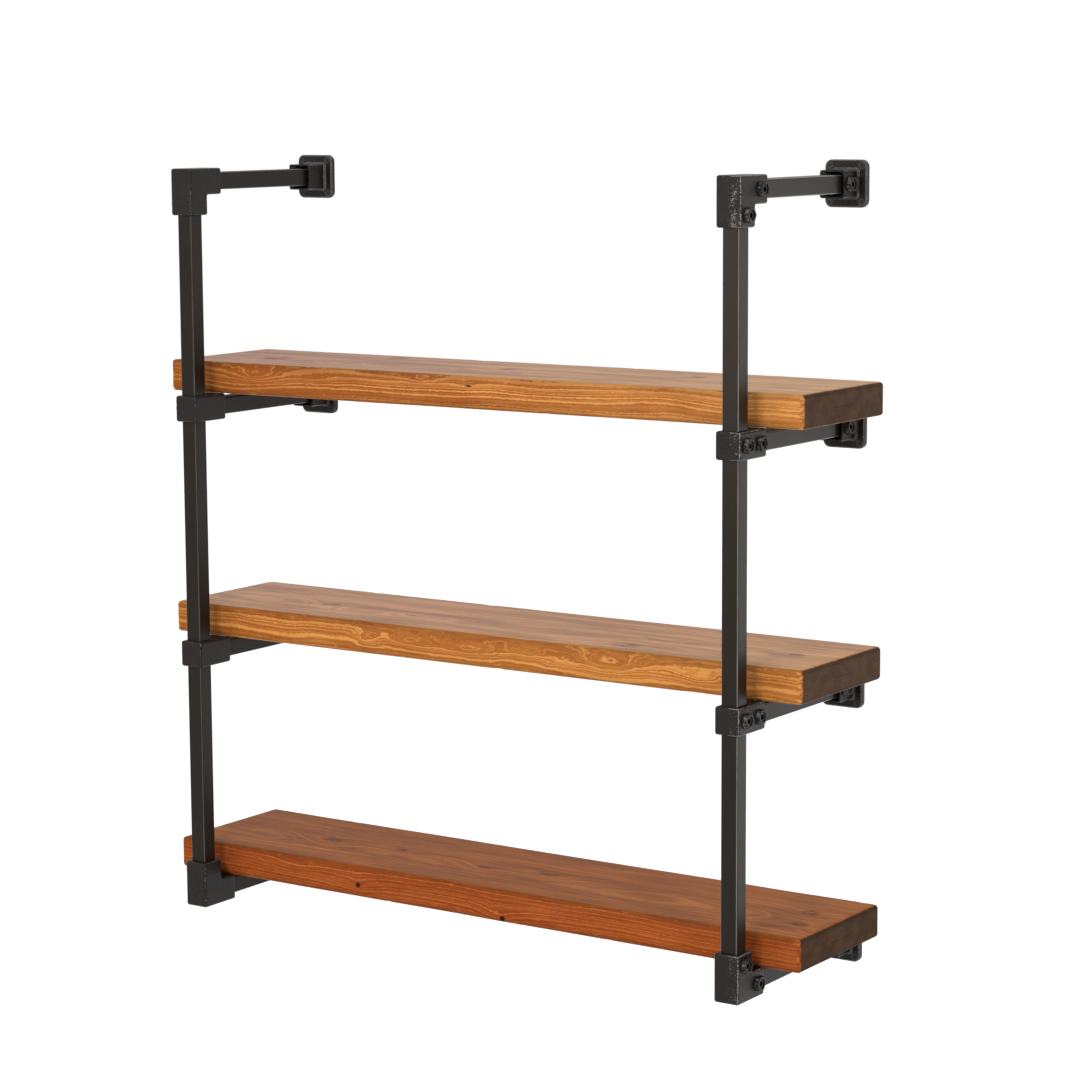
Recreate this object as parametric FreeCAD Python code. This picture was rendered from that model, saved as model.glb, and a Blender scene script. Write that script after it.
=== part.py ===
import FreeCAD, Part
import math
import os
from FreeCAD import Rotation, Vector

# A wall-hung shelving unit: two side frames of square tube and cast set-screw fittings, which carry
# three thick softwood boards. Millimetres, +Z up. The wall is the plane Y = 0 and the unit stands
# out from it towards -Y. The origin is on the wall, midway between the two side frames, level with
# the axes of the lowest arms.

# Layout
upright_spacing = 905.0     # from axis to axis of the two uprights
shelf_pitch = 358.0         # from one shelf's arms to the next
top_arm_rise = 325.0        # from the highest shelf's arms to the top arms

# Boards
board_depth = 220.0
board_thickness = 46.0
board_overhang = 77.5       # past the axis of each upright
board_bearing = 9.0         # how far a board reaches over the sockets at its front and back
board_edge_radius = 5.0

# Square tube
tube_size = 25.0
tube_corner = 2.5
tube_wall = 2.0
tube_bore_corner = 1.0

# Elbows and tees
socket_clearance = 0.5      # round a tube, and between a tube's end and what it meets
cast_wall = 5.75
cast_edge_radius = 3.5
socket_length = 31.0        # how far the socket for an arm stands out from the square body
leg_length = 29.0           # how far an elbow's leg stands out from it

# Wall plates
plate_size = 64.0
plate_thickness = 8.0
plate_corner = 10.0
plate_edge_bevel = 2.0
plate_root_bevel = 3.0      # where the socket meets the plate
plate_hole_inset = 7.5      # from the plate's edges to the middle of a hole
plate_hole_diameter = 5.5
countersink_diameter = 10.5
wall_socket_length = 37.0
mouth_opening = 33.0        # across the socket's mouth, which narrows to fit the tube
mouth_depth = 10.0          # over which it narrows
wall_screw_setback = 16.0   # from the socket's mouth to its set screw

# Hexagonal bosses and the set screws in them
boss_flats = 19.0
boss_height = 6.0
boss_edge_radius = 1.5
boss_rim_radius = 0.8
screw_from_end = 16.0       # from the end of a socket to its set screw
screw_diameter = 13.0
screw_clearance = 0.1
screw_recess = 1.5          # below the end of the boss
screw_point_chamfer = 1.2
hex_flats = 7.0
hex_depth = 6.0

overrun = 4.0               # how far every cut runs past the face that it opens

# Worked out from the sizes above
cast_size = tube_size + 2 * (socket_clearance + cast_wall)
cast_half = cast_size / 2
socket_reach = cast_half + socket_length
leg_reach = cast_half + leg_length
bore_size = tube_size + 2 * socket_clearance
bore_corner = tube_corner + socket_clearance
wall_mouth = plate_thickness + wall_socket_length
axis_to_wall = socket_reach + board_depth - 2 * board_bearing + wall_mouth
board_length = upright_spacing + 2 * board_overhang
board_back = wall_mouth - board_bearing
upper_level = 2 * shelf_pitch
top_level = upper_level + top_arm_rise

along_x = Vector(1, 0, 0)
along_y = Vector(0, 1, 0)
along_z = Vector(0, 0, 1)


# A square outline with rounded corners, about the origin in the XY plane
def rounded_square(side, corner):
    half = side / 2
    straight = half - corner
    bulge = straight + corner * math.sqrt(0.5)
    edges = []
    for quarter in range(4):
        turn = Rotation(along_z, 90 * quarter)
        foot = turn.multVec(Vector(half, -straight, 0))
        shoulder = turn.multVec(Vector(half, straight, 0))
        middle = turn.multVec(Vector(bulge, bulge, 0))
        beyond = turn.multVec(Vector(straight, half, 0))
        edges.append(Part.makeLine(foot, shoulder))
        edges.append(Part.Arc(shoulder, middle, beyond).toShape())
    return Part.Wire(edges)


# A prism of that outline, which starts at a point and runs a given way
def square_prism(side, corner, start, way, length):
    prism = Part.Face(rounded_square(side, corner)).extrude(along_z * length)
    prism.Placement = FreeCAD.Placement(start, Rotation(along_z, way))
    return prism


# A hollow square tube
def square_tube(start, way, length):
    outside = square_prism(tube_size, tube_corner, start, way, length)
    bore_side = tube_size - 2 * tube_wall
    bore = square_prism(bore_side, tube_bore_corner, start - way * overrun, way, length + 2 * overrun)
    return outside.cut(bore)


# A boss with a given outline in a plane square to X, with the edges of its sides and its end rounded
def rounded_boss(corners):
    foot_x = cast_half - cast_wall / 2
    end_x = cast_half + boss_height
    foot = [Vector(foot_x, y, z) for y, z in corners]
    boss = Part.Face(Part.makePolygon(foot + foot[:1])).extrude(along_x * (end_x - foot_x))
    middle_x = (foot_x + end_x) / 2
    upper_x = (middle_x + end_x) / 2
    sides = [edge for edge in boss.Edges if abs(edge.CenterOfMass.x - middle_x) < end_x - upper_x]
    boss = boss.makeFillet(boss_edge_radius, sides)
    rim = [edge for edge in boss.Edges if edge.CenterOfMass.x > upper_x]
    return boss.makeFillet(boss_rim_radius, rim)


# The corners of a hexagon about a set screw's axis, with points towards the wall and away from it
def hexagon(flats, centre):
    point = flats / math.sqrt(3)
    corners = []
    for step in range(6):
        angle = math.radians(60 * step)
        corners.append((centre[0] + point * math.cos(angle), centre[1] + point * math.sin(angle)))
    return corners


# The bore for a set screw, from inside the socket out through the end of its boss
def screw_bore(centre):
    radius = screw_diameter / 2 + screw_clearance
    start = Vector(0, centre[0], centre[1])
    return Part.makeCylinder(radius, cast_half + boss_height + overrun, start, along_x)


# A headless set screw with a hexagon socket, tightened against the side of the tube
def set_screw(centre):
    tip_x = tube_size / 2
    length = cast_half + boss_height - screw_recess - tip_x
    radius = screw_diameter / 2
    start = Vector(tip_x, centre[0], centre[1])
    body = Part.makeCylinder(radius, length, start, along_x)
    rims = [edge for edge in body.Edges if edge.Closed]
    body = body.makeChamfer(screw_point_chamfer, rims)
    socket_x = tip_x + length - hex_depth
    ring = [Vector(socket_x, y, z) for y, z in hexagon(hex_flats, centre)]
    socket = Part.Face(Part.makePolygon(ring + ring[:1])).extrude(along_x * (hex_depth + overrun))
    return body.cut(socket)


# A cast fitting, from its outline square to X. The arm's axis and the upright's axis cross at the
# origin, the arm socket points towards +Y, and the set screws are on the +X side.
def cast_fitting(outline, upright_start, upright_way, upright_length, screws):
    corners = [Vector(-cast_half, y, z) for y, z in outline]
    profile = Part.Face(Part.makePolygon(corners + corners[:1]))
    body = profile.extrude(along_x * cast_size)
    body = body.makeFillet(cast_edge_radius, body.Edges)
    for centre in screws:
        body = body.fuse(rounded_boss(hexagon(boss_flats, centre)))
    body = body.cut(square_prism(bore_size, bore_corner, upright_start, upright_way, upright_length))
    arm_bore = square_prism(bore_size, bore_corner, Vector(0, 0, 0), along_y, socket_reach + overrun)
    body = body.cut(arm_bore)
    for centre in screws:
        body = body.cut(screw_bore(centre))
    return body.removeSplitter()


arm_screw = (socket_reach - screw_from_end, 0)


# An elbow at the end of an upright. The leg goes down from the arm for -1 and up for +1.
def elbow_screws(leg_way):
    return {"upright": (0, leg_way * (leg_reach - screw_from_end)), "arm": arm_screw}


def elbow(leg_way):
    outline = [
        (-cast_half, -cast_half * leg_way),
        (socket_reach, -cast_half * leg_way),
        (socket_reach, cast_half * leg_way),
        (cast_half, cast_half * leg_way),
        (cast_half, leg_reach * leg_way),
        (-cast_half, leg_reach * leg_way),
    ]
    closed_end = Vector(0, 0, -leg_way * (cast_half - cast_wall))
    bore_length = cast_half - cast_wall + leg_reach + overrun
    screws = elbow_screws(leg_way).values()
    return cast_fitting(outline, closed_end, along_z * leg_way, bore_length, screws)


# A tee: a short collar that the upright passes through, with one socket towards the wall
tee_screws = {"upright": (0, 0), "arm": arm_screw}


def tee():
    outline = [
        (-cast_half, -cast_half),
        (socket_reach, -cast_half),
        (socket_reach, cast_half),
        (-cast_half, cast_half),
    ]
    below = Vector(0, 0, -cast_half - overrun)
    bore_length = cast_size + 2 * overrun
    return cast_fitting(outline, below, along_z, bore_length, tee_screws.values())


wall_screw = (wall_screw_setback - wall_mouth, 0)


# The room cut away at the mouth of a wall plate's socket, from a point in front of it
def tapered_mouth(start):
    slope = (mouth_opening - bore_size) / mouth_depth
    wide = rounded_square(mouth_opening + slope * overrun, bore_corner)
    wide.Placement = FreeCAD.Placement(start, Rotation(along_z, along_y))
    narrow = rounded_square(bore_size, bore_corner)
    narrow_start = start + along_y * (overrun + mouth_depth)
    narrow.Placement = FreeCAD.Placement(narrow_start, Rotation(along_z, along_y))
    return Part.makeLoft([wide, narrow], True, True)


# A wall plate: a square plate with four countersunk holes and a socket that stands out from it. Its
# back is the wall, and the arm's axis passes through the origin.
def wall_plate():
    outward = -along_y
    plate = square_prism(plate_size, plate_corner, Vector(0, 0, 0), outward, plate_thickness)
    rim = []
    for edge in plate.Edges:
        if abs(edge.CenterOfMass.y + plate_thickness) < plate_edge_bevel / 2:
            rim.append(edge)
    plate = plate.makeChamfer(plate_edge_bevel, rim)
    socket = square_prism(cast_size, cast_edge_radius, Vector(0, 0, 0), outward, wall_mouth)
    body = plate.fuse(socket).removeSplitter()
    root = []
    for edge in body.Edges:
        on_front = abs(edge.CenterOfMass.y + plate_thickness) < plate_root_bevel / 2
        if on_front and edge.distToShape(socket)[0] < plate_root_bevel / 2:
            root.append(edge)
    body = body.makeChamfer(plate_root_bevel, root)
    six = hexagon(boss_flats, wall_screw)
    buried = -plate_thickness / 2
    corners = [six[3], six[2], (buried, six[2][1]), (buried, six[4][1]), six[4]]
    body = body.fuse(rounded_boss(corners))
    mouth_cut = Vector(0, -wall_mouth - overrun, 0)
    bore_length = wall_socket_length + overrun
    body = body.cut(square_prism(bore_size, bore_corner, mouth_cut, along_y, bore_length))
    body = body.cut(tapered_mouth(mouth_cut))
    body = body.cut(screw_bore(wall_screw))
    hole_radius = plate_hole_diameter / 2
    sink_radius = countersink_diameter / 2
    hole_reach = plate_size / 2 - plate_hole_inset
    for side in (-1, 1):
        for level in (-1, 1):
            front = Vector(side * hole_reach, -plate_thickness, level * hole_reach)
            through = plate_thickness + 2 * overrun
            hole = Part.makeCylinder(hole_radius, through, front + outward * overrun, along_y)
            sink = Part.makeCone(sink_radius, hole_radius, sink_radius - hole_radius, front, along_y)
            body = body.cut(hole).cut(sink)
    return body.removeSplitter()


# A board, with all its edges eased, which rests on the sockets of one level of arms
def board(level):
    corner = Vector(-board_length / 2, -board_back - board_depth, level + cast_half)
    blank = Part.makeBox(board_length, board_depth, board_thickness, corner)
    return blank.makeFillet(board_edge_radius, blank.Edges)


# The side frame on the +X side
def side_frame():
    upright_x = upright_spacing / 2
    pieces = {}
    tube_end = cast_half - cast_wall - socket_clearance
    upright_foot = Vector(upright_x, -axis_to_wall, -tube_end)
    pieces["upright"] = square_tube(upright_foot, along_z, top_level + 2 * tube_end)
    fittings = {
        "top": ("elbow", elbow(-1), elbow_screws(-1), top_level),
        "upper": ("tee", tee(), tee_screws, upper_level),
        "lower": ("tee", tee(), tee_screws, shelf_pitch),
        "bottom": ("elbow", elbow(1), elbow_screws(1), 0),
    }
    arm_start = tube_size / 2 + socket_clearance
    arm_length = axis_to_wall - plate_thickness - socket_clearance - arm_start
    for place, (kind, casting, screws, level) in fittings.items():
        at_upright = Vector(upright_x, -axis_to_wall, level)
        at_wall = Vector(upright_x, 0, level)
        pieces[place + "_" + kind] = casting.translated(at_upright)
        pieces[place + "_arm"] = square_tube(at_upright + along_y * arm_start, along_y, arm_length)
        pieces[place + "_wall_plate"] = wall_plate().translated(at_wall)
        for tube, centre in screws.items():
            name = place + "_" + kind + "_" + tube + "_screw"
            pieces[name] = set_screw(centre).translated(at_upright)
        pieces[place + "_wall_plate_screw"] = set_screw(wall_screw).translated(at_wall)
    return pieces


pieces = {
    "bottom_board": board(0),
    "middle_board": board(shelf_pitch),
    "top_board": board(upper_level),
}
for name, shape in side_frame().items():
    pieces["right_" + name] = shape
    pieces["left_" + name] = shape.mirror(Vector(0, 0, 0), along_x)

os.makedirs("parts", exist_ok=True)
for name, shape in pieces.items():
    shape.exportStep("parts/" + name + ".step")
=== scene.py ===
import math
import bpy
from mathutils import Matrix, Vector, noise


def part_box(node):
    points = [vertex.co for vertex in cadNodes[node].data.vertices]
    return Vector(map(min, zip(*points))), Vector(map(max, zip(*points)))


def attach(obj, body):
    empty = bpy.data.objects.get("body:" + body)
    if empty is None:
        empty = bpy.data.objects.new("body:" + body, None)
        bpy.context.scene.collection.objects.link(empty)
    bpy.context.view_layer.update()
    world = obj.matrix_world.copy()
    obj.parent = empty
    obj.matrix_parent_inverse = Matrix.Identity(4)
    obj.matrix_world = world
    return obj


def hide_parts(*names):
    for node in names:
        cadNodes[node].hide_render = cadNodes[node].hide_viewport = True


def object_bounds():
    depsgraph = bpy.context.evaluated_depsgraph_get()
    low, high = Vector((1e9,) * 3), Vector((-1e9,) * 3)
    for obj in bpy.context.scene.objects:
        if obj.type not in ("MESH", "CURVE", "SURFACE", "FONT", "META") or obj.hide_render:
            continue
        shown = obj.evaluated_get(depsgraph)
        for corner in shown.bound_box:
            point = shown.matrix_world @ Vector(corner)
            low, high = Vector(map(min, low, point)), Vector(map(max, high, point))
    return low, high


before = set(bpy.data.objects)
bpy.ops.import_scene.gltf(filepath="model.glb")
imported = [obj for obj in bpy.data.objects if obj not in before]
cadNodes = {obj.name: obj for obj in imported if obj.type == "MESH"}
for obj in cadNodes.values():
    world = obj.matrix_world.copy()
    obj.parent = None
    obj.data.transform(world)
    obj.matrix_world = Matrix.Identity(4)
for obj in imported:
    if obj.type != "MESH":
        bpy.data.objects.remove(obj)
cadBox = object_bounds()
print("frame:", len(cadNodes), "pieces from the workshop model")


def paint(red, green, blue):    # a colour as a paint chart gives it, 0 to 255, turned into linear light
    channels = []
    for value in (red, green, blue):
        share = value / 255
        channels.append(share / 12.92 if share <= 0.04045 else ((share + 0.055) / 1.055) ** 2.4)
    return (*channels, 1.0)


class Wire:    # one output of a node, which can be used in sums
    def __init__(self, nodes, socket):
        self.nodes = nodes
        self.socket = socket

    def math(self, operation, *others):
        values = dict(enumerate((self, *others)))
        return self.nodes.add("ShaderNodeMath", {"operation": operation}, values)

    def __add__(self, other):
        return self.math("ADD", other)

    def __radd__(self, other):
        return self.math("ADD", other)

    def __sub__(self, other):
        return self.math("SUBTRACT", other)

    def __rsub__(self, other):
        return self.nodes.add("ShaderNodeMath", {"operation": "SUBTRACT"}, {0: other, 1: self})

    def __mul__(self, other):
        return self.math("MULTIPLY", other)

    def __truediv__(self, other):
        return self.math("DIVIDE", other)

    def also(self, out):    # another output of the same node
        return Wire(self.nodes, self.socket.node.outputs[out])

    def ease(self, low, high):    # 0 below low, 1 above high, smooth between
        limits = {"Value": self, "From Min": low, "From Max": high}
        smooth = {"interpolation_type": "SMOOTHSTEP"}
        return self.nodes.add("ShaderNodeMapRange", smooth, limits, "Result")


class Nodes:    # a node tree, built one node at a time
    def __init__(self, tree):
        self.tree = tree
        tree.nodes.clear()

    def add(self, kind, settings=None, sockets=None, out=0):
        node = self.tree.nodes.new(kind)
        for key, value in (settings or {}).items():
            setattr(node, key, value)
        for key, value in (sockets or {}).items():
            for entry in value if isinstance(value, list) else [value]:
                if isinstance(entry, Wire):
                    self.tree.links.new(entry.socket, node.inputs[key])
                else:
                    node.inputs[key].default_value = entry
        return Wire(self, node.outputs[out] if len(node.outputs) else None)


class Finish(Nodes):    # a material, or the world
    def __init__(self, owner):
        owner.use_nodes = True
        super().__init__(owner.node_tree)
        self.owner = owner

    def vector(self, operation, first, second):
        return self.add("ShaderNodeVectorMath", {"operation": operation}, {0: first, 1: second})

    def grain(self, where, stretch, detail=2.0, rough=0.5):    # soft noise, stretched by direction
        scaled = self.vector("MULTIPLY", where, stretch)
        look = {"Vector": scaled, "Scale": 1.0, "Detail": detail, "Roughness": rough}
        return self.add("ShaderNodeTexNoise", None, look, "Fac")

    def band(self, value, scale):    # soft noise along one number
        line = {"noise_dimensions": "1D"}
        return self.add("ShaderNodeTexNoise", line, {"W": value, "Scale": scale}, "Fac")

    def facing(self):    # how far the surface faces along each axis, either way
        normal = self.add("ShaderNodeTexCoord", None, None, "Normal")
        parts = self.add("ShaderNodeSeparateXYZ", None, {0: normal})
        return [parts.also(axis).math("ABSOLUTE") for axis in range(3)]

    def corners(self, flat=(0.8, 0.93)):    # 1 along rounded and bevelled edges, 0 on flat sides
        sides = self.facing()
        return 1 - sides[0].math("MAXIMUM", sides[1]).math("MAXIMUM", sides[2]).ease(*flat)

    def mix(self, factor, first, second, blend="MIX"):
        kind = {"data_type": "RGBA", "blend_type": blend}
        return self.add("ShaderNodeMix", kind, {0: factor, 6: first, 7: second}, 2)

    def shade(self, colour, factor):    # a colour made lighter or darker by a number
        grey = self.add("ShaderNodeCombineColor", None, {0: factor, 1: factor, 2: factor})
        return self.mix(1.0, colour, grey, "MULTIPLY")

    def bump(self, height, strength, distance):
        relief = {"Height": height, "Strength": strength, "Distance": distance}
        return self.add("ShaderNodeBump", None, relief)

    def shown(self):    # 1 for what looks straight, or by reflection, at the backdrop
        seen = self.add("ShaderNodeLightPath", None, None, "Is Camera Ray")
        mirrored = seen.also("Is Glossy Ray").math("MAXIMUM", seen.also("Is Transmission Ray"))
        return seen.math("MAXIMUM", mirrored)

    def surface(self, sockets):
        shader = self.add("ShaderNodeBsdfPrincipled", None, sockets)
        self.add("ShaderNodeOutputMaterial", None, {"Surface": shader})
        return self.owner


def newFinish(name):
    return Finish(bpy.data.materials.new(name))


# Camera, at the photograph's angle

cameraView = {
    "place": (2.4613, -3.6967, 1.1638),
    "azimuth": 34.208,      # degrees, from straight in front towards the right
    "elevation": 8.218,
    "roll": -0.318,
    "lens": 103.23,
    "sensor": 36.0,
}


def placeCamera(view):
    azimuth, elevation, roll = (math.radians(view[key]) for key in ("azimuth", "elevation", "roll"))
    level = Vector((math.cos(azimuth), math.sin(azimuth), 0))
    ahead = Vector((-math.sin(azimuth) * math.cos(elevation),
                    math.cos(azimuth) * math.cos(elevation),
                    -math.sin(elevation)))
    right = level * math.cos(roll) + level.cross(ahead) * math.sin(roll)
    turn = Matrix((right, right.cross(ahead), -ahead)).transposed().to_4x4()
    camera = bpy.data.objects.new("camera", bpy.data.cameras.new("camera"))
    camera.data.lens = view["lens"]
    camera.data.sensor_width = view["sensor"]
    camera.matrix_world = Matrix.Translation(view["place"]) @ turn
    bpy.context.scene.collection.objects.link(camera)
    bpy.context.scene.camera = camera


placeCamera(cameraView)
bpy.context.scene.view_settings.view_transform = "Standard"
print("camera placed")


# Studio: white all round, a soft lamp in front, narrow ones at the sides for glints, a pale floor below

studio = {
    "fill": 0.42,           # light from the white surroundings
    "floorDrop": 0.9,       # how far below the unit the floor is
    "floorSize": 30.0,
    "floorGlow": 0.68,
    "floorColour": (0.86, 0.86, 0.86, 1),
    "floorRoughness": 0.9,
    "lamps": {
        "front": {"at": (0.45, -3.6, 1.9), "towards": (0.1, -0.2, 0.5),
                  "size": (1.2, 1.2), "power": 61.0},
        "overhead": {"at": (0.2, -0.9, 3.2), "towards": (0.1, -0.15, 0.4),
                     "size": (2.2, 1.6), "power": 5.0},
        "leftHigh": {"at": (-1.9, -3.1, 1.6), "towards": (0.2, -0.3, 0.6),
                     "size": (0.25, 0.6), "power": 9.0},
        "leftLow": {"at": (-1.1, -2.9, 0.7), "towards": (0.45, -0.3, 0.9),
                    "size": (0.5, 0.5), "power": 6.0},
        "rightStrip": {"at": (3.0, -1.7, 0.95), "towards": (0.4, -0.1, 0.7),
                       "size": (0.3, 2.0), "power": 12.5},
        "rearScreen": {"at": (1.75, 1.35, 0.25), "towards": (0.45, -0.3, 0.35),
                       "size": (0.9, 1.6), "power": 9.0},
    },
}


def lightStudio(look):
    world = bpy.data.worlds.new("studioWhite")
    bpy.context.scene.world = world
    air = Finish(world)
    level = look["fill"] + air.shown() * (1 - look["fill"])
    white = air.add("ShaderNodeBackground", None, {"Color": (1, 1, 1, 1), "Strength": level})
    air.add("ShaderNodeOutputWorld", None, {"Surface": white})
    for name, lamp in look["lamps"].items():
        light = bpy.data.lights.new(name, "AREA")
        light.shape = "RECTANGLE"
        light.size, light.size_y = lamp["size"]
        light.energy = lamp["power"]
        holder = bpy.data.objects.new(name, light)
        aim = Vector(lamp["towards"]) - Vector(lamp["at"])
        turn = aim.to_track_quat("-Z", "Y").to_matrix().to_4x4()
        holder.matrix_world = Matrix.Translation(lamp["at"]) @ turn
        holder.visible_camera = False
        bpy.context.scene.collection.objects.link(holder)


def layFloor(look):
    half = look["floorSize"] / 2
    level = cadBox[0].z - look["floorDrop"]
    corners = [(-half, -half, level), (half, -half, level), (half, half, level), (-half, half, level)]
    mesh = bpy.data.meshes.new("floor")
    mesh.from_pydata(corners, [], [(0, 1, 2, 3)])
    floor = bpy.data.objects.new("floor", mesh)
    bpy.context.scene.collection.objects.link(floor)
    pale = newFinish("paleFloor")
    glow = pale.mix(pale.shown(), (0, 0, 0, 1), (look["floorGlow"],) * 3 + (1,))
    mesh.materials.append(pale.surface({
        "Base Color": look["floorColour"], "Roughness": look["floorRoughness"],
        "Emission Color": glow, "Emission Strength": 1.0}))


lightStudio(studio)
layFloor(studio)
print("studio lit")


# Boards: thick softwood, stained and oiled, with eased and knocked edges. Sizes are in metres from the
# middle of each board. Stain darkens the soft spring growth, so the summer rings are the pale lines.

boardShape = {
    "edgeRadius": 0.0055,
    "edgeWander": 0.0014,   # how much the eased edges vary along the board
    "wanderWaves": 9.0,     # and how often, per metre
    "cornerApart": 7.3,     # keeps the four edges from varying together
    "leastRadius": 0.001,
    "endRadius": 0.0065,
    "cornerSteps": 7,
    "depthSteps": 28,
    "heightSteps": 6,
    "station": 0.005,       # spacing of the cross-sections
    "hollow": 0.00035,      # how far the planed faces wave inwards
    "hollowWaves": 10.0,
    "dent": 0.0022,
    "dentWaves": 4.3,       # for each wave of the hollows
    "dentFrom": 0.42,       # the noise above this is a dent
    "leanRound": 0.05,      # how far the surface leans to the end where its rounding begins
    "leanFlat": 0.99,       # and where the flat end begins
    "stainFrom": 0.35,      # the lean where the dark end begins
    "stainFront": 0.45,     # it runs less far round its front edge, by this much
    "stainFade": 0.18,
    "endMargin": 0.002,     # rim of the flat end
}

# A figure is a place on the front, its half sizes and how far the rings bulge there; a knot is a place
# and its half sizes.
boards = {
    "top_board": {
        "slot": "golden_board", "seed": 3.1,
        "spring": paint(156, 84, 31), "summer": paint(224, 154, 82), "endGrain": paint(79, 55, 37),
        "pith": (-0.03, -0.062), "pithDrift": 0.012, "ringStep": 0.0023,
        "sway": 0.0022, "swayStretch": (6.5, 15, 30),
        "contrast": 1.0, "lift": -0.34, "brighten": 0.7, "oil": 0.39, "sheen": 0.1,
        "topLightTint": (0.97, 1.05, 0.68, 1),
        "figures": [((-0.365, 0.0080), (0.044, 0.0100), 0.0130),
                    ((-0.075, 0.0170), (0.026, 0.0060), 0.0075),
                    ((-0.270, 0.0080), (0.040, 0.0080), 0.0050),
                    ((0.300, 0.0020), (0.080, 0.0180), -0.0035)],
        "topKnots": [((-0.405, -0.020), (0.034, 0.034)), ((-0.250, 0.075), (0.022, 0.026)),
                     ((-0.005, 0.009), (0.020, 0.022)), ((0.280, 0.035), (0.022, 0.022))],
        "frontKnots": [((0.005, 0.0092), (0.008, 0.0017))],
    },
    "middle_board": {
        "slot": "golden_board", "seed": 11.7,
        "spring": paint(158, 84, 30), "summer": paint(224, 153, 78), "endGrain": paint(79, 55, 37),
        "pith": (-0.025, -0.054), "pithDrift": 0.012, "ringStep": 0.0029,
        "sway": 0.0034, "swayStretch": (9, 12, 20),
        "contrast": 1.0, "lift": -0.2, "brighten": 0.2, "oil": 0.46, "sheen": 0.1,
        "topLightTint": (1.07, 1.15, 0.63, 1),
        "figures": [((-0.175, -0.0015), (0.020, 0.0110), 0.0110),
                    ((-0.100, 0.0030), (0.040, 0.0105), 0.0120),
                    ((-0.001, 0.0010), (0.060, 0.0110), 0.0140),
                    ((0.096, 0.0063), (0.040, 0.0085), 0.0070),
                    ((0.154, -0.0033), (0.030, 0.0075), 0.0060),
                    ((0.229, 0.0050), (0.044, 0.0095), 0.0135),
                    ((0.376, -0.0040), (0.060, 0.0130), 0.0080)],
        "topKnots": [((-0.312, -0.015), (0.022, 0.016)), ((-0.142, -0.029), (0.034, 0.006)),
                     ((0.233, -0.069), (0.032, 0.018)), ((0.253, -0.011), (0.016, 0.005)),
                     ((0.466, -0.010), (0.016, 0.010))],
        "frontKnots": [],
    },
    "bottom_board": {
        "slot": "red_board", "seed": 23.9,
        "spring": paint(140, 61, 21), "summer": paint(192, 107, 52), "endGrain": paint(77, 54, 37),
        "pith": (-0.030, -0.100), "pithDrift": 0.010, "ringStep": 0.0027,
        "sway": 0.0024, "swayStretch": (6.5, 15, 30),
        "contrast": 1.05, "lift": -0.22, "brighten": 0.08, "oil": 0.03, "sheen": 0.05,
        "topLightTint": (1.05, 1.36, 0.8, 1),
        "figures": [((-0.200, -0.0040), (0.044, 0.0140), 0.0055),
                    ((0.050, -0.0140), (0.046, 0.0140), 0.0070),
                    ((-0.310, 0.0080), (0.050, 0.0100), 0.0050)],
        "topKnots": [((-0.324, -0.005), (0.022, 0.014)), ((-0.201, 0.001), (0.014, 0.008)),
                     ((-0.038, -0.013), (0.020, 0.012)), ((0.063, -0.002), (0.024, 0.010)),
                     ((0.474, 0.019), (0.018, 0.016)), ((0.483, -0.041), (0.024, 0.016))],
        "frontKnots": [((-0.198, -0.0050), (0.0052, 0.0048)), ((0.055, -0.0175), (0.0056, 0.0052))],
    },
}

# What all boards share. A texture is its waves per metre along, across and up, its detail and, if it
# isn't a half, its roughness.
woodTextures = {
    "pithWander": ((4.5, 0, 0), 1.0),
    "ripple": ((17, 60, 95), 2.0),
    "fray": ((200, 480, 480), 2.0, 0.6),
    "warpAlong": ((26, 0, 80), 2.0, 0.6),
    "warpUp": ((34, 0, 50), 2.0, 0.6),
    "knotRim": ((70, 90, 90), 2.0),
    "knotPatches": ((55, 75, 75), 3.0, 0.6),
    "fibres": ((28, 900, 900), 3.0),
    "patches": ((3.2, 9, 12), 2.0),
    "blotches": ((14, 60, 75), 3.0, 0.6),
    "dashes": ((45, 620, 620), 0.0),
    "cracks": ((40, 170, 170), 1.5),
    "streaks": ((5, 42, 42), 3.0, 0.6),
    "splitWander": ((0, 60, 0), 2.0),
    "pores": ((300, 420, 420), 2.0),
    "stains": ((60, 45, 60), 3.0, 0.6),
    "rubs": ((70, 260, 260), 3.0),
}

woodLook = {
    "swing": {"ripple": 0.0018, "fray": 0.0020, "warpAlong": 0.050, "warpUp": 0.011, "knotRim": 0.9,
              "splitWander": 0.004},
    "swayDetail": (1.5, 0.45),
    "frontFrom": (0.085, 0.105),    # how far before the middle the front's figures fade in
    "wornFrom": (0.519, 0.526),     # how far from the middle the worn ends begin
    "splitHeight": (0.0002, 0.0009),
    "splitLength": (0.018, 0.034),
    "knotFall": -0.16,              # how fast a knot's push on the rings falls off
    "knotPush": 0.2,
    "knotHeart": (0.35, 1.1),
    "growth": (230.0, 2.0),         # some years grow more than others: how often, and how much
    "years": 0.8,                   # how often the rings change in strength
    "summerPower": 1.7,             # above 1 the pale lines are narrower than the dark ones
    "knot": paint(84, 40, 16),
    "crack": paint(40, 22, 13),
    "hole": paint(30, 15, 8),
    "bump": (0.35, 0.0004),
    "coatRoughness": 0.42,
}


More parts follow.
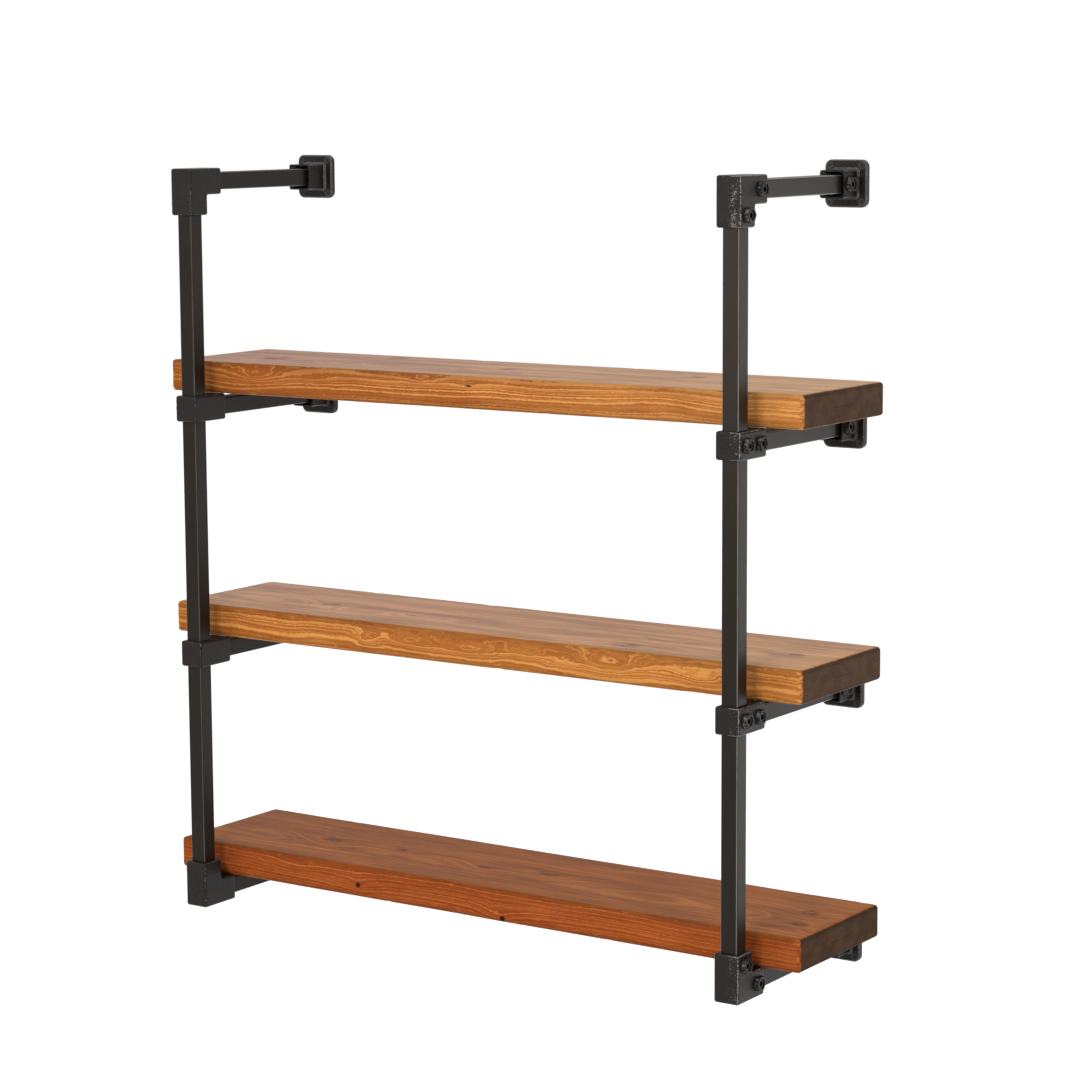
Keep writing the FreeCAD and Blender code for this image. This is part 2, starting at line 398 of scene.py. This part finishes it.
# Points round a cross-section, each with its normal and 1 on a rounded edge or 0 on a flat side
def roundedSection(halfDepth, halfHeight, radii, shape):
    points = []
    corners = [(1, -1), (1, 1), (-1, 1), (-1, -1)]
    for index, (toBack, toTop) in enumerate(corners):
        radius = radii[index]
        middle = (toBack * (halfDepth - radius), toTop * (halfHeight - radius))
        for step in range(shape["cornerSteps"] + 1):
            angle = math.radians(90 * (index - 1 + step / shape["cornerSteps"]))
            normal = (math.cos(angle), math.sin(angle))
            points.append((middle[0] + radius * normal[0], middle[1] + radius * normal[1], normal, 1.0))
        onward = corners[(index + 1) % 4]
        radiusOn = radii[(index + 1) % 4]
        nextMiddle = (onward[0] * (halfDepth - radiusOn), onward[1] * (halfHeight - radiusOn))
        angle = math.radians(90 * index)
        normal = (math.cos(angle), math.sin(angle))
        first = (middle[0] + radius * normal[0], middle[1] + radius * normal[1])
        last = (nextMiddle[0] + radiusOn * normal[0], nextMiddle[1] + radiusOn * normal[1])
        steps = shape["heightSteps"] if index % 2 == 0 else shape["depthSteps"]
        for step in range(1, steps):
            share = step / steps
            points.append((first[0] + (last[0] - first[0]) * share,
                           first[1] + (last[1] - first[1]) * share, normal, 0.0))
    return points


# Places along a board, each with the section's inset and the lean of the surface towards the end
def boardStations(halfLength, shape):
    radius = shape["endRadius"]
    straight = halfLength - radius
    ends = []
    for step in range(shape["cornerSteps"] + 1):
        angle = math.radians(90 * step / shape["cornerSteps"])
        place = straight + radius * math.sin(angle)
        ends.append((place, radius * (1 - math.cos(angle)), math.sin(angle)))
    count = round(2 * straight / shape["station"])
    middle = [(-straight + 2 * straight * step / count, 0.0, 0.0) for step in range(1, count)]
    start = [(-place, inset, -lean) for place, inset, lean in reversed(ends)]
    return start + middle + ends


def makeBoard(name, look, shape):
    low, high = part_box(name)
    centre = (low + high) / 2
    half = (high - low) / 2
    verts, faces, endGrain, edgeWear = [], [], [], []

    def addSection(place, inset, lean):
        radii = []
        for corner in range(4):
            spot = Vector((place * shape["wanderWaves"], corner * shape["cornerApart"], look["seed"]))
            wander = shape["edgeWander"] * noise.noise(spot)
            radii.append(max(shape["edgeRadius"] + wander - inset, shape["leastRadius"]))
        upright = math.sqrt(max(0.0, 1 - lean * lean))
        onEnd = abs(lean) > shape["leanFlat"]
        onRound = 1.0 if abs(lean) > shape["leanRound"] else 0.0
        ring = []
        for across, up, normal, edge in roundedSection(half.y - inset, half.z - inset, radii, shape):
            worn = 0.0 if onEnd else max(edge, onRound)
            spot = Vector((place, across, up)) * shape["hollowWaves"] + Vector((look["seed"],) * 3)
            drawIn = shape["hollow"] * (0.5 + 0.5 * noise.noise(spot))
            dent = noise.noise(spot * shape["dentWaves"]) - shape["dentFrom"]
            drawIn += worn * shape["dent"] * max(0.0, dent)
            outward = Vector((lean, normal[0] * upright, normal[1] * upright))
            ring.append(len(verts))
            verts.append(centre + Vector((place, across, up)) - outward * drawIn)
            stained = shape["stainFrom"] + shape["stainFront"] * max(0.0, -normal[0])
            endGrain.append(min(1.0, max(0.0, (abs(lean) - stained) / shape["stainFade"])))
            edgeWear.append(worn)
        return ring

    rings = [addSection(*station) for station in boardStations(half.x, shape)]
    count = len(rings[0])
    for ring, onward in zip(rings, rings[1:]):
        for index in range(count):
            after = (index + 1) % count
            faces.append((ring[index], ring[after], onward[after], onward[index]))
    for side, ring in ((-1, rings[0]), (1, rings[-1])):    # flat ends
        inner = addSection(side * half.x, shape["endRadius"] + shape["endMargin"], side)
        for index in range(count):
            after = (index + 1) % count
            quad = (ring[index], ring[after], inner[after], inner[index])
            faces.append(quad if side > 0 else quad[::-1])
        faces.append(inner if side > 0 else inner[::-1])
    mesh = bpy.data.meshes.new(name + ".wood")
    mesh.from_pydata(verts, [], faces)
    mesh.shade_smooth()
    mesh.attributes.new("endGrain", "FLOAT", "POINT").data.foreach_set("value", endGrain)
    mesh.attributes.new("edgeWear", "FLOAT", "POINT").data.foreach_set("value", edgeWear)
    board = bpy.data.objects.new(name + ".wood", mesh)
    bpy.context.scene.collection.objects.link(board)
    mesh.materials.append(woodFinish(name + ".wood", look, centre))
    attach(board, name)
    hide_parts(name)


def spotDistance(first, second, place, size):    # 1 on the rim of an ellipse, 0 at its middle
    stepFirst = (first - place[0]) / size[0]
    stepSecond = (second - place[1]) / size[1]
    return stepFirst * stepFirst + stepSecond * stepSecond


def knotMasks(first, second, knots, ragged):    # the push of the knots on the rings, and the knots
    push, heart = 0.0, 0.0
    for place, size in knots:
        square = spotDistance(first, second, place, size)
        reach = woodLook["knotPush"] * (size[0] + size[1])
        push = (square * woodLook["knotFall"]).math("EXPONENT") * reach + push
        heart = (1 - (square.math("SQRT") + ragged).ease(*woodLook["knotHeart"])) + heart
    return push, heart


def woodFinish(name, look, centre):
    wood = newFinish(name)
    place = wood.vector("SUBTRACT", wood.add("ShaderNodeTexCoord", None, None, "Object"), centre)
    along = wood.add("ShaderNodeSeparateXYZ", None, {0: place})
    across, up = along.also(1), along.also(2)
    seeded = wood.vector("ADD", place, (look["seed"],) * 3)
    textures = {key: wood.grain(seeded, *texture) for key, texture in woodTextures.items()}
    endMask = wood.add("ShaderNodeAttribute", {"attribute_name": "endGrain"}, None, "Fac")
    edgeMask = wood.add("ShaderNodeAttribute", {"attribute_name": "edgeWear"}, None, "Fac")
    nearFront = (0 - across).ease(*woodLook["frontFrom"])
    nearEnd = along.math("ABSOLUTE").ease(*woodLook["wornFrom"])
    upward = wood.facing()[2].ease(0.6, 0.95)

    def swing(key):    # a texture as a shift either way
        return (textures[key] - 0.5) * woodLook["swing"][key]

    # growth rings round the pith, swaying along the board, frayed by the saw and pushed aside by figures,
    # which are never quite ovals, and by knots
    fromPithY = across - look["pith"][0]
    fromPithZ = up - look["pith"][1] + (textures["pithWander"] - 0.5) * look["pithDrift"]
    radius = (fromPithY * fromPithY + fromPithZ * fromPithZ).math("SQRT")
    sway = wood.grain(seeded, look["swayStretch"], *woodLook["swayDetail"])
    radius = radius + (sway - 0.5) * (2 * look["sway"])
    radius = radius + swing("ripple")
    radius = radius + swing("fray")
    sideways = along + swing("warpAlong")
    raised = up + swing("warpUp")
    for figurePlace, figureSize, rise in look["figures"]:
        bulge = (spotDistance(sideways, raised, figurePlace, figureSize) * -1.0).math("EXPONENT")
        radius = radius + bulge * nearFront * rise
    ragged = swing("knotRim")
    pushTop, heartTop = knotMasks(along, across, look["topKnots"], ragged)
    radius = radius + pushTop
    heart = heartTop * (0.3 + textures["knotPatches"].ease(0.38, 0.62) * 0.6)
    hole = 0.0
    if look["frontKnots"]:
        pushFront, heartFront = knotMasks(along, up, look["frontKnots"], ragged * 0.4)
        radius = radius + pushFront * nearFront
        hole = heartFront * nearFront
    growthScale, growthReach = woodLook["growth"]
    ring = radius / look["ringStep"] + wood.band(radius, growthScale) * growthReach
    wave = (ring * (2 * math.pi)).math("SINE") * 0.5 + 0.5
    yearly = wood.band(ring, woodLook["years"]).ease(0.28, 0.72)
    summer = wave.math("POWER", woodLook["summerPower"])
    tone = summer * (0.14 + yearly * 0.75) * look["contrast"] + textures["blotches"] * 0.7 + look["lift"]
    tone = tone + upward * (0.3 - tone) * 0.35    # the tops show less of the rings

    # faces: stained, the tops given a painted tint for how the light falls on them and streaked by
    # handling, with dark knots, cracks and holes
    fibres, patches, pores = (textures[key] for key in ("fibres", "patches", "pores"))
    dashes = textures["dashes"].ease(0.68, 0.78)
    cracks = heart * (1 - (textures["cracks"] - 0.5).math("ABSOLUTE").ease(0.0, 0.03))
    colour = wood.mix(tone + along * look["brighten"], look["spring"], look["summer"])
    colour = wood.shade(colour, 0.71 + fibres * 0.3 + patches * 0.26 - dashes * 0.16)
    streaks = textures["streaks"].ease(0.3, 0.68)
    # painted light on the tops: a tint for how they are lit, with darker streaks
    topLightAndStreaks = wood.shade(wood.mix(1.0, colour, look["topLightTint"], "MULTIPLY"), 0.8 + streaks * 0.4)
    colour = wood.mix(upward, colour, topLightAndStreaks)
    colour = wood.mix(heart * 0.9, colour, woodLook["knot"])
    colour = wood.mix(cracks * 0.8, colour, woodLook["crack"])
    colour = wood.mix(hole, colour, woodLook["hole"])

    # sawn ends drink the stain and go dark, with a short crack near the middle
    split = 1 - (up + swing("splitWander")).math("ABSOLUTE").ease(*woodLook["splitHeight"])
    split = split * (1 - across.math("ABSOLUTE").ease(*woodLook["splitLength"]))
    stains = textures["stains"].ease(0.35, 0.7)
    soaked = 0.46 + summer * 0.12 + pores * 0.55 + stains * 0.45 - split * 0.4
    colour = wood.mix(endMask, colour, wood.shade(look["endGrain"], soaked))

    # edges: stain gathers there, and knocks show paler wood, most of all near the ends
    rubbed = textures["rubs"] + nearEnd * 0.12
    flecks = edgeMask * (1 - endMask) * rubbed.ease(0.6, 0.72)
    colour = wood.shade(colour, 1 - edgeMask * patches * 0.4)
    colour = wood.mix(flecks * (0.4 + nearEnd * 0.4), colour, look["summer"])

    rough = 0.43 + fibres * 0.14 - tone * 0.08 + endMask * 0.2
    height = tone * 0.35 + fibres * 0.5 - dashes * 0.5 - cracks * 0.6 - endMask * split
    height = height + endMask * pores * 0.5
    # the oil shines where it is seen at a low angle
    slant = wood.add("ShaderNodeLayerWeight", None, {"Blend": 0.5}, "Facing").ease(0.42, 0.85)
    oil = slant * (1 - endMask) * (0.78 + streaks * 0.5 - tone * 0.15 - heart * 0.6) * look["oil"]
    return wood.surface({
        "Base Color": colour, "Roughness": rough, "Normal": wood.bump(height, *woodLook["bump"]),
        "Specular IOR Level": look["sheen"],
        "Coat Weight": oil, "Coat Roughness": woodLook["coatRoughness"]})


for boardName, boardLook in boards.items():
    makeBoard(boardName, boardLook, boardShape)
print("boards:", ", ".join(boards))


# Tubes: satin black paint on steel, with faint draw lines along them. Those on the right get a painted
# sheen near the top, and their edges are rubbed more and carry more painted highlight.

tubeLook = {
    "colour": paint(32, 26, 20),
    # the pale edge colour: rubbed paint and a painted highlight
    "rubbed": paint(150, 146, 141),
    "roughness": 0.36,
    "sheen": 0.13,
    "streak": 900.0,                # draw lines, waves per metre across the tube
    "length": 9.0,                  # and along it
    "smears": 24.0,
    "peel": 1400.0,
    "rightFrom": (-0.1, 0.1),       # metres from the middle
    "topSheenFrom": (0.55, 0.95),      # metres up
    # the painted sheen's strength
    "paler": 0.75,
    "leastEdgeHighlight": 0.35,
    "bump": (0.12, 0.0002),
    "coatRoughness": 0.2,
}


def tubeFinish(name, look, alongAxis):
    steel = newFinish(name)
    place = steel.add("ShaderNodeTexCoord", None, None, "Object")
    stretch = [look["streak"]] * 3
    stretch[alongAxis] = look["length"]
    lines = steel.grain(place, tuple(stretch), 2.0)
    smears = steel.grain(place, (look["smears"],) * 3, 3.0)
    peel = steel.grain(place, (look["peel"],) * 3, 1.0)
    colour = steel.shade(look["colour"], 0.75 + lines * 0.22 + smears * 0.3)
    sideways = steel.add("ShaderNodeSeparateXYZ", None, {0: place})
    onRight = sideways.ease(*look["rightFrom"])
    # painted sheen: the right-hand tubes are made paler towards the top
    paintedTopSheen = onRight * sideways.also(2).ease(*look["topSheenFrom"])
    colour = steel.shade(colour, 1 + paintedTopSheen * look["paler"])
    # pale edges: rubbed paint and a painted highlight, strongest on the right-hand tubes
    edgeHighlightShare = look["leastEdgeHighlight"] + onRight * (1 - look["leastEdgeHighlight"])
    rubbed = steel.corners() * (0.3 + smears) * edgeHighlightShare
    colour = steel.mix(rubbed * 0.7, colour, look["rubbed"])
    rough = look["roughness"] - 0.1 + lines * 0.08 + smears * 0.14
    return steel.surface({
        "Base Color": colour, "Roughness": rough,
        "Normal": steel.bump(lines * 0.5 + peel, *look["bump"]),
        "Specular IOR Level": look["sheen"],
        "Coat Weight": rubbed * 0.7, "Coat Roughness": look["coatRoughness"]})


# Castings: thick black enamel over rough iron, so the faces are lumpy and pitted

castLook = {
    "colour": paint(31, 27, 24),
    # the pale colour of the painted glints and highlights, and of rubbed-off enamel
    "worn": paint(172, 168, 163),
    "roughness": 0.27,
    "sheen": 0.14,
    "lumps": 330.0,                         # waves per metre, as are the next five
    "pits": 1000.0,
    "smears": 40.0,
    "glintSpecks": (1000.0, 1000.0, 760.0),
    "glintClusters": (110.0, 110.0, 30.0),
    "glints": 230.0,
    "hammeredAndGlintsFrom": (0.448, 0.460),         # metres to the right
    "mostAbove": (0.7, 1.0),                # metres up
    "bossFrom": (0.4713, 0.4716),           # metres from the middle, either way
    "plateFront": (0.010, 0.013),           # metres out from the wall
    "frontFrom": (0.15, 0.20),
    "facet": (0.83, 0.855, 0.877, 0.9),     # how far the slanting sides of a boss face the front
    "bump": (0.9, 0.0008),
}


def castFinish(name, look):
    iron = newFinish(name)
    place = iron.add("ShaderNodeTexCoord", None, None, "Object")
    scaled = iron.vector("MULTIPLY", place, (look["lumps"],) * 3)
    cells = {"Vector": scaled, "Scale": 1.0, "Smoothness": 0.7}
    lumps = iron.add("ShaderNodeTexVoronoi", {"feature": "SMOOTH_F1"}, cells, "Distance")
    pits = iron.grain(place, (look["pits"],) * 3, 3.0, 0.6)
    smears = iron.grain(place, (look["smears"],) * 3, 2.0)
    colour = iron.shade(look["colour"], 0.7 + pits * 0.35 + smears * 0.25)

    # pale specks along the edges and on the fronts of the right-hand castings: painted glints and edge
    # highlights, laid on as enamel rubbed off high spots
    sideways = iron.add("ShaderNodeSeparateXYZ", None, {0: place})
    forward = 0 - sideways.also(1)
    front = iron.facing()[1]
    atFront = forward.ease(*look["frontFrom"])
    onRight = sideways.ease(*look["hammeredAndGlintsFrom"])
    boss = sideways.math("ABSOLUTE").ease(*look["bossFrom"]) * forward.ease(*look["plateFront"])
    hammeredAndGlinting = front.ease(0.7, 0.95) * onRight * atFront * (1 - boss)
    hammeredAndGlinting = hammeredAndGlinting * (0.62 + sideways.also(2).ease(*look["mostAbove"]) * 0.46)
    glintClusters = iron.grain(place, look["glintClusters"], 2.0).ease(0.35, 0.65)
    edges = iron.corners() * (1 - boss)
    wearAndGlintShare = edges * (0.7 + onRight * atFront * 0.55) + hammeredAndGlinting * (0.46 + glintClusters * 0.62)
    bar = 0.8 - wearAndGlintShare * 0.24
    worn = iron.grain(place, look["glintSpecks"], 1.0).ease(bar, bar + 0.06)

    # the slanting sides of the bosses get painted glints in places, and the plates a soft painted
    # highlight along their edges
    facet = boss * front.ease(*look["facet"][:2]) * (1 - front.ease(*look["facet"][2:]))
    caught = iron.grain(place, (look["glints"],) * 3, 0.0).ease(0.45, 0.65)
    glint = facet * (0.06 + caught * 0.3)
    # painted shade: the wall plates, away from the front, are made darker
    colour = iron.shade(colour, 0.82 + atFront * 0.18)
    # painted highlight along the edges of the plates and other castings away from the front
    colour = iron.mix(edges * (1 - atFront) * 0.16, colour, look["worn"])
    # pale specks: painted glints and edge highlights, as rubbed-off enamel
    colour = iron.mix(worn * 0.85, colour, look["worn"])
    colour = iron.mix(glint, colour, look["worn"])
    rough = look["roughness"] - 0.06 + pits * 0.14 + smears * 0.06
    relief = lumps * (0.35 + hammeredAndGlinting * 0.9 + front * 0.3) + pits * 0.6
    return iron.surface({
        "Base Color": colour, "Roughness": rough, "Normal": iron.bump(relief, *look["bump"]),
        "Specular IOR Level": look["sheen"]})


uprightPaint = tubeFinish("uprightPaint", tubeLook, 2)
armPaint = tubeFinish("armPaint", tubeLook, 1)
castEnamel = castFinish("castEnamel", castLook)
finishes = {"_upright": uprightPaint, "_arm": armPaint, "_elbow": castEnamel, "_tee": castEnamel,
            "_wall_plate": castEnamel}
for nodeName, node in cadNodes.items():
    for ending, finish in finishes.items():
        if nodeName.endswith(ending):
            node.data.materials.clear()
            node.data.materials.append(finish)
print("tubes and castings painted")


# Screws: each kind is modelled once in nodes and set at all its places

screwLook = {
    # the pale colour of rubbed steel and of the painted highlight on the rims
    "worn": paint(128, 123, 117),
    # near-black painted shade for the inside of the hexagon
    "dark": (0.001, 0.001, 0.001, 1),
    "sheen": 0.2,
    "scratch": (160, 1500, 1500),   # waves per metre, as are the smears
    "smears": (120, 120, 120),
    # the painted shade in the hole begins at this depth
    "holeShadeFrom": (0.1, 0.2),         # how deep in its hole a screw goes dark
    "bump": (0.15, 0.0002),
    "sharpAngle": math.radians(28),
}

setScrewLook = {
    "colour": paint(44, 41, 38),
    "rimBevel": 0.0011,
    "hexFlats": 0.007,
    "hexDepth": 0.006,
    "hexSink": 0.0006,      # bevel at the mouth of the hexagon
    "sides": 40,
    "seed": 5,
}

wallScrewLook = {
    "colour": paint(50, 46, 42),
    "headRadius": 0.0047,
    "shankRadius": 0.0024,
    "headDepth": 0.0022,
    "shankDepth": 0.0045,
    "sink": 0.0003,         # how far the head lies below the plate's face
    "slotLength": 0.0040,
    "slotWidth": 0.0010,
    "slotDepth": 0.0016,
    "holeInset": 0.0075,    # from the plate's edges to its holes
    "plateThickness": 0.008,
    "sides": 32,
    "seed": 8,
}


class Pattern(Nodes):    # a piece modelled in geometry nodes and set, spun at random, at many places
    def __init__(self, name, sizes):
        super().__init__(bpy.data.node_groups.new(name, "GeometryNodeTree"))
        self.name = name
        sockets = {"Places": "Geometry", **{label: "Float" for label in sizes}}
        sockets |= {"Sides": "Int", "Seed": "Int", "Finish": "Material"}
        for label, kind in sockets.items():
            self.tree.interface.new_socket(label, in_out="INPUT", socket_type="NodeSocket" + kind)
        self.tree.interface.new_socket("Pieces", in_out="OUTPUT", socket_type="NodeSocketGeometry")
        self.given = self.add("NodeGroupInput")

    def up(self, height):
        return self.add("ShaderNodeCombineXYZ", None, {"Z": height})

    def lift(self, shape, height):
        moved = {"Geometry": shape, "Translation": self.up(height)}
        return self.add("GeometryNodeTransform", None, moved)

    def cylinder(self, sides, radius, depth):
        sizes = {"Vertices": sides, "Radius": radius, "Depth": depth}
        return self.add("GeometryNodeMeshCylinder", None, sizes, "Mesh")

    def cone(self, sides, topRadius, footRadius, depth):    # stands on the origin
        sizes = {"Vertices": sides, "Depth": depth,
                 "Radius Top": topRadius, "Radius Bottom": footRadius}
        return self.add("GeometryNodeMeshCone", None, sizes, "Mesh")

    def cut(self, shape, tool):
        exact = {"operation": "DIFFERENCE", "solver": "EXACT"}
        return self.add("GeometryNodeMeshBoolean", exact, {"Mesh 1": shape, "Mesh 2": tool}, "Mesh")

    def setOut(self, shape):    # one at each place, along its facing
        named = {"data_type": "FLOAT_VECTOR"}
        facing = self.add("GeometryNodeInputNamedAttribute", named, {"Name": "facing"}, "Attribute")
        aimed = self.add("FunctionNodeAlignRotationToVector", {"axis": "Z"}, {"Vector": facing})
        limits = {"Min": 0.0, "Max": math.pi, "Seed": self.given.also("Seed")}
        spin = self.add("FunctionNodeRandomValue", {"data_type": "FLOAT"}, limits, "Value")
        turns = {"Rotation": aimed, "Rotate By": self.up(spin)}
        spun = self.add("FunctionNodeRotateRotation", {"rotation_space": "LOCAL"}, turns)
        there = {"Points": self.given.also("Places"), "Instance": shape, "Rotation": spun}
        placed = self.add("GeometryNodeInstanceOnPoints", None, there)
        joined = self.add("GeometryNodeRealizeInstances", None, {"Geometry": placed})
        dressed = {"Geometry": joined, "Material": self.given.also("Finish")}
        pieces = self.add("GeometryNodeSetMaterial", None, dressed)
        self.add("NodeGroupOutput", None, {"Pieces": pieces})

    def bake(self, places, facing, values):    # a plain mesh piece from the places and named inputs
        mesh = bpy.data.meshes.new(self.name)
        mesh.from_pydata(places, [], [])
        mesh.attributes.new("facing", "FLOAT_VECTOR", "POINT").data.foreach_set("vector", facing)
        holder = bpy.data.objects.new(self.name + ".places", mesh)
        bpy.context.scene.collection.objects.link(holder)
        modifier = holder.modifiers.new(self.name, "NODES")
        modifier.node_group = self.tree
        for item in self.tree.interface.items_tree:
            if item.name in values:
                modifier[item.identifier] = values[item.name]
        shown = holder.evaluated_get(bpy.context.evaluated_depsgraph_get())
        baked = bpy.data.meshes.new_from_object(shown)
        bpy.data.objects.remove(holder)
        baked.shade_smooth()
        baked.set_sharp_from_angle(angle=screwLook["sharpAngle"])
        piece = bpy.data.objects.new(self.name, baked)
        bpy.context.scene.collection.objects.link(piece)
        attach(piece, "frame")
        return piece


def screwFinish(name, colour):
    steel = newFinish(name)
    place = steel.add("ShaderNodeTexCoord", None, None, "Object")
    scratch = steel.grain(place, screwLook["scratch"], 2.0)
    smears = steel.grain(place, screwLook["smears"], 2.0)
    stained = steel.shade(colour, 0.7 + smears * 0.5)
    # pale rims: rubbed steel and a painted highlight
    outside = steel.add("ShaderNodeBsdfPrincipled", None, {
        "Base Color": steel.mix(steel.corners() * 0.35, stained, screwLook["worn"]),
        "Roughness": 0.32 + scratch * 0.18 + smears * 0.08,
        "Normal": steel.bump(scratch, *screwLook["bump"]), "Specular IOR Level": screwLook["sheen"]})
    # painted shade: below its mouth the hexagon's hole is shaded near-black
    black = {"Base Color": screwLook["dark"], "Roughness": 1.0, "Specular IOR Level": 0.0}
    paintedHoleShade = steel.add("ShaderNodeBsdfPrincipled", None, black)
    sunk = steel.add("ShaderNodeAttribute", {"attribute_name": "sunk"}, None, "Fac")
    deep = sunk.ease(*screwLook["holeShadeFrom"])
    both = steel.add("ShaderNodeMixShader", None, {0: deep, 1: outside, 2: paintedHoleShade})
    steel.add("ShaderNodeOutputMaterial", None, {"Surface": both})
    return steel.owner


def makeSetScrews(look):
    names = sorted(name for name in cadNodes if name.endswith("_screw"))
    low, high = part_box(names[0])
    sizes = {"Radius": (high.z - low.z) / 2, "Length": high.x - low.x, "Rim Bevel": look["rimBevel"],
             "Hex Flats": look["hexFlats"], "Hex Depth": look["hexDepth"], "Hex Sink": look["hexSink"]}
    screw = Pattern("setScrews", sizes)
    radius, length, bevel, flats, depth, sink = (screw.given.also(label) for label in sizes)
    sides = screw.given.also("Sides")
    # it stands on its point at the origin, bevelled end up, and the hexagon is cut from above
    shank = length - bevel
    body = screw.cylinder(sides, radius, shank)
    drawn = {"Mesh": screw.lift(body, shank / 2), "Selection": body.also("Top"),
             "Offset": screw.up(bevel), "Offset Scale": 1.0, "Individual": False}
    raised = screw.add("GeometryNodeExtrudeMesh", None, drawn, "Mesh")
    narrowed = {"Geometry": raised, "Selection": raised.also("Top"), "Scale": (radius - bevel) / radius}
    blank = screw.add("GeometryNodeScaleElements", None, narrowed)
    point = flats / math.sqrt(3)
    hexagon = screw.lift(screw.cylinder(6, point, depth * 2), length)
    mouth = screw.lift(screw.cone(sides, point + sink, point - sink, sink * 2), length - sink)
    bored = screw.cut(screw.cut(blank, hexagon), mouth)
    # how deep each point lies in the hole, for the painted shade there
    spot = screw.add("GeometryNodeInputPosition")
    height = screw.add("ShaderNodeSeparateXYZ", None, {0: spot}, "Z")
    level = screw.add("ShaderNodeVectorMath", {"operation": "MULTIPLY"}, {0: spot, 1: (1, 1, 0)})
    outwards = screw.add("ShaderNodeVectorMath", {"operation": "LENGTH"}, {0: level}, "Value")
    sunk = (length - height) / depth * outwards.math("LESS_THAN", point + sink / 2)
    perPoint = {"data_type": "FLOAT", "domain": "POINT"}
    marked = {"Geometry": bored, "Name": "sunk", "Value": sunk}
    screw.setOut(screw.add("GeometryNodeStoreNamedAttribute", perPoint, marked))

    places, facing = [], []
    for name in names:
        low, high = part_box(name)
        middle = (low + high) / 2
        outward = 1 if middle.x > 0 else -1
        places.append((low.x if outward > 0 else high.x, middle.y, middle.z))
        facing += [outward, 0.0, 0.0]
    values = {**sizes, "Sides": look["sides"], "Seed": look["seed"]}
    screws = screw.bake(places, facing, {**values, "Finish": screwFinish("setScrew", look["colour"])})
    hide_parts(*names)
    return len(names)


def makeWallScrews(look):
    headSizes = {"Head Radius": look["headRadius"], "Shank Radius": look["shankRadius"],
                 "Head Depth": look["headDepth"], "Shank Depth": look["shankDepth"]}
    slotSizes = {"Slot Length": look["slotLength"], "Slot Width": look["slotWidth"],
                 "Slot Depth": look["slotDepth"]}
    sizes = headSizes | slotSizes
    screw = Pattern("wallScrews", sizes)
    headRadius, shankRadius, headDepth, shankDepth = (screw.given.also(label) for label in headSizes)
    slotLength, slotWidth, slotDepth = (screw.given.also(label) for label in slotSizes)
    sides = screw.given.also("Sides")
    # the head's flat face is at the origin, and its cross is cut from above
    head = screw.lift(screw.cone(sides, headRadius, shankRadius, headDepth), 0 - headDepth)
    shank = screw.lift(screw.cylinder(sides, shankRadius, shankDepth), 0 - headDepth - shankDepth / 2)
    for length, width in ((slotLength, slotWidth), (slotWidth, slotLength)):
        size = screw.add("ShaderNodeCombineXYZ", None, {"X": length, "Y": width, "Z": slotDepth * 2})
        head = screw.cut(head, screw.add("GeometryNodeMeshCube", None, {"Size": size}, "Mesh"))
    screw.setOut(screw.add("GeometryNodeJoinGeometry", None, {"Geometry": [head, shank]}))

    places, facing = [], []
    for name in cadNodes:
        if name.endswith("_wall_plate"):
            low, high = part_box(name)
            for x in (low.x + look["holeInset"], high.x - look["holeInset"]):
                for z in (low.z + look["holeInset"], high.z - look["holeInset"]):
                    places.append((x, high.y - look["plateThickness"] + look["sink"], z))
                    facing += [0.0, -1.0, 0.0]
    values = {**sizes, "Sides": look["sides"], "Seed": look["seed"]}
    screw.bake(places, facing, {**values, "Finish": screwFinish("wallScrew", look["colour"])})
    return len(places)


print("set screws:", makeSetScrews(setScrewLook))
print("wall screws:", makeWallScrews(wallScrewLook))
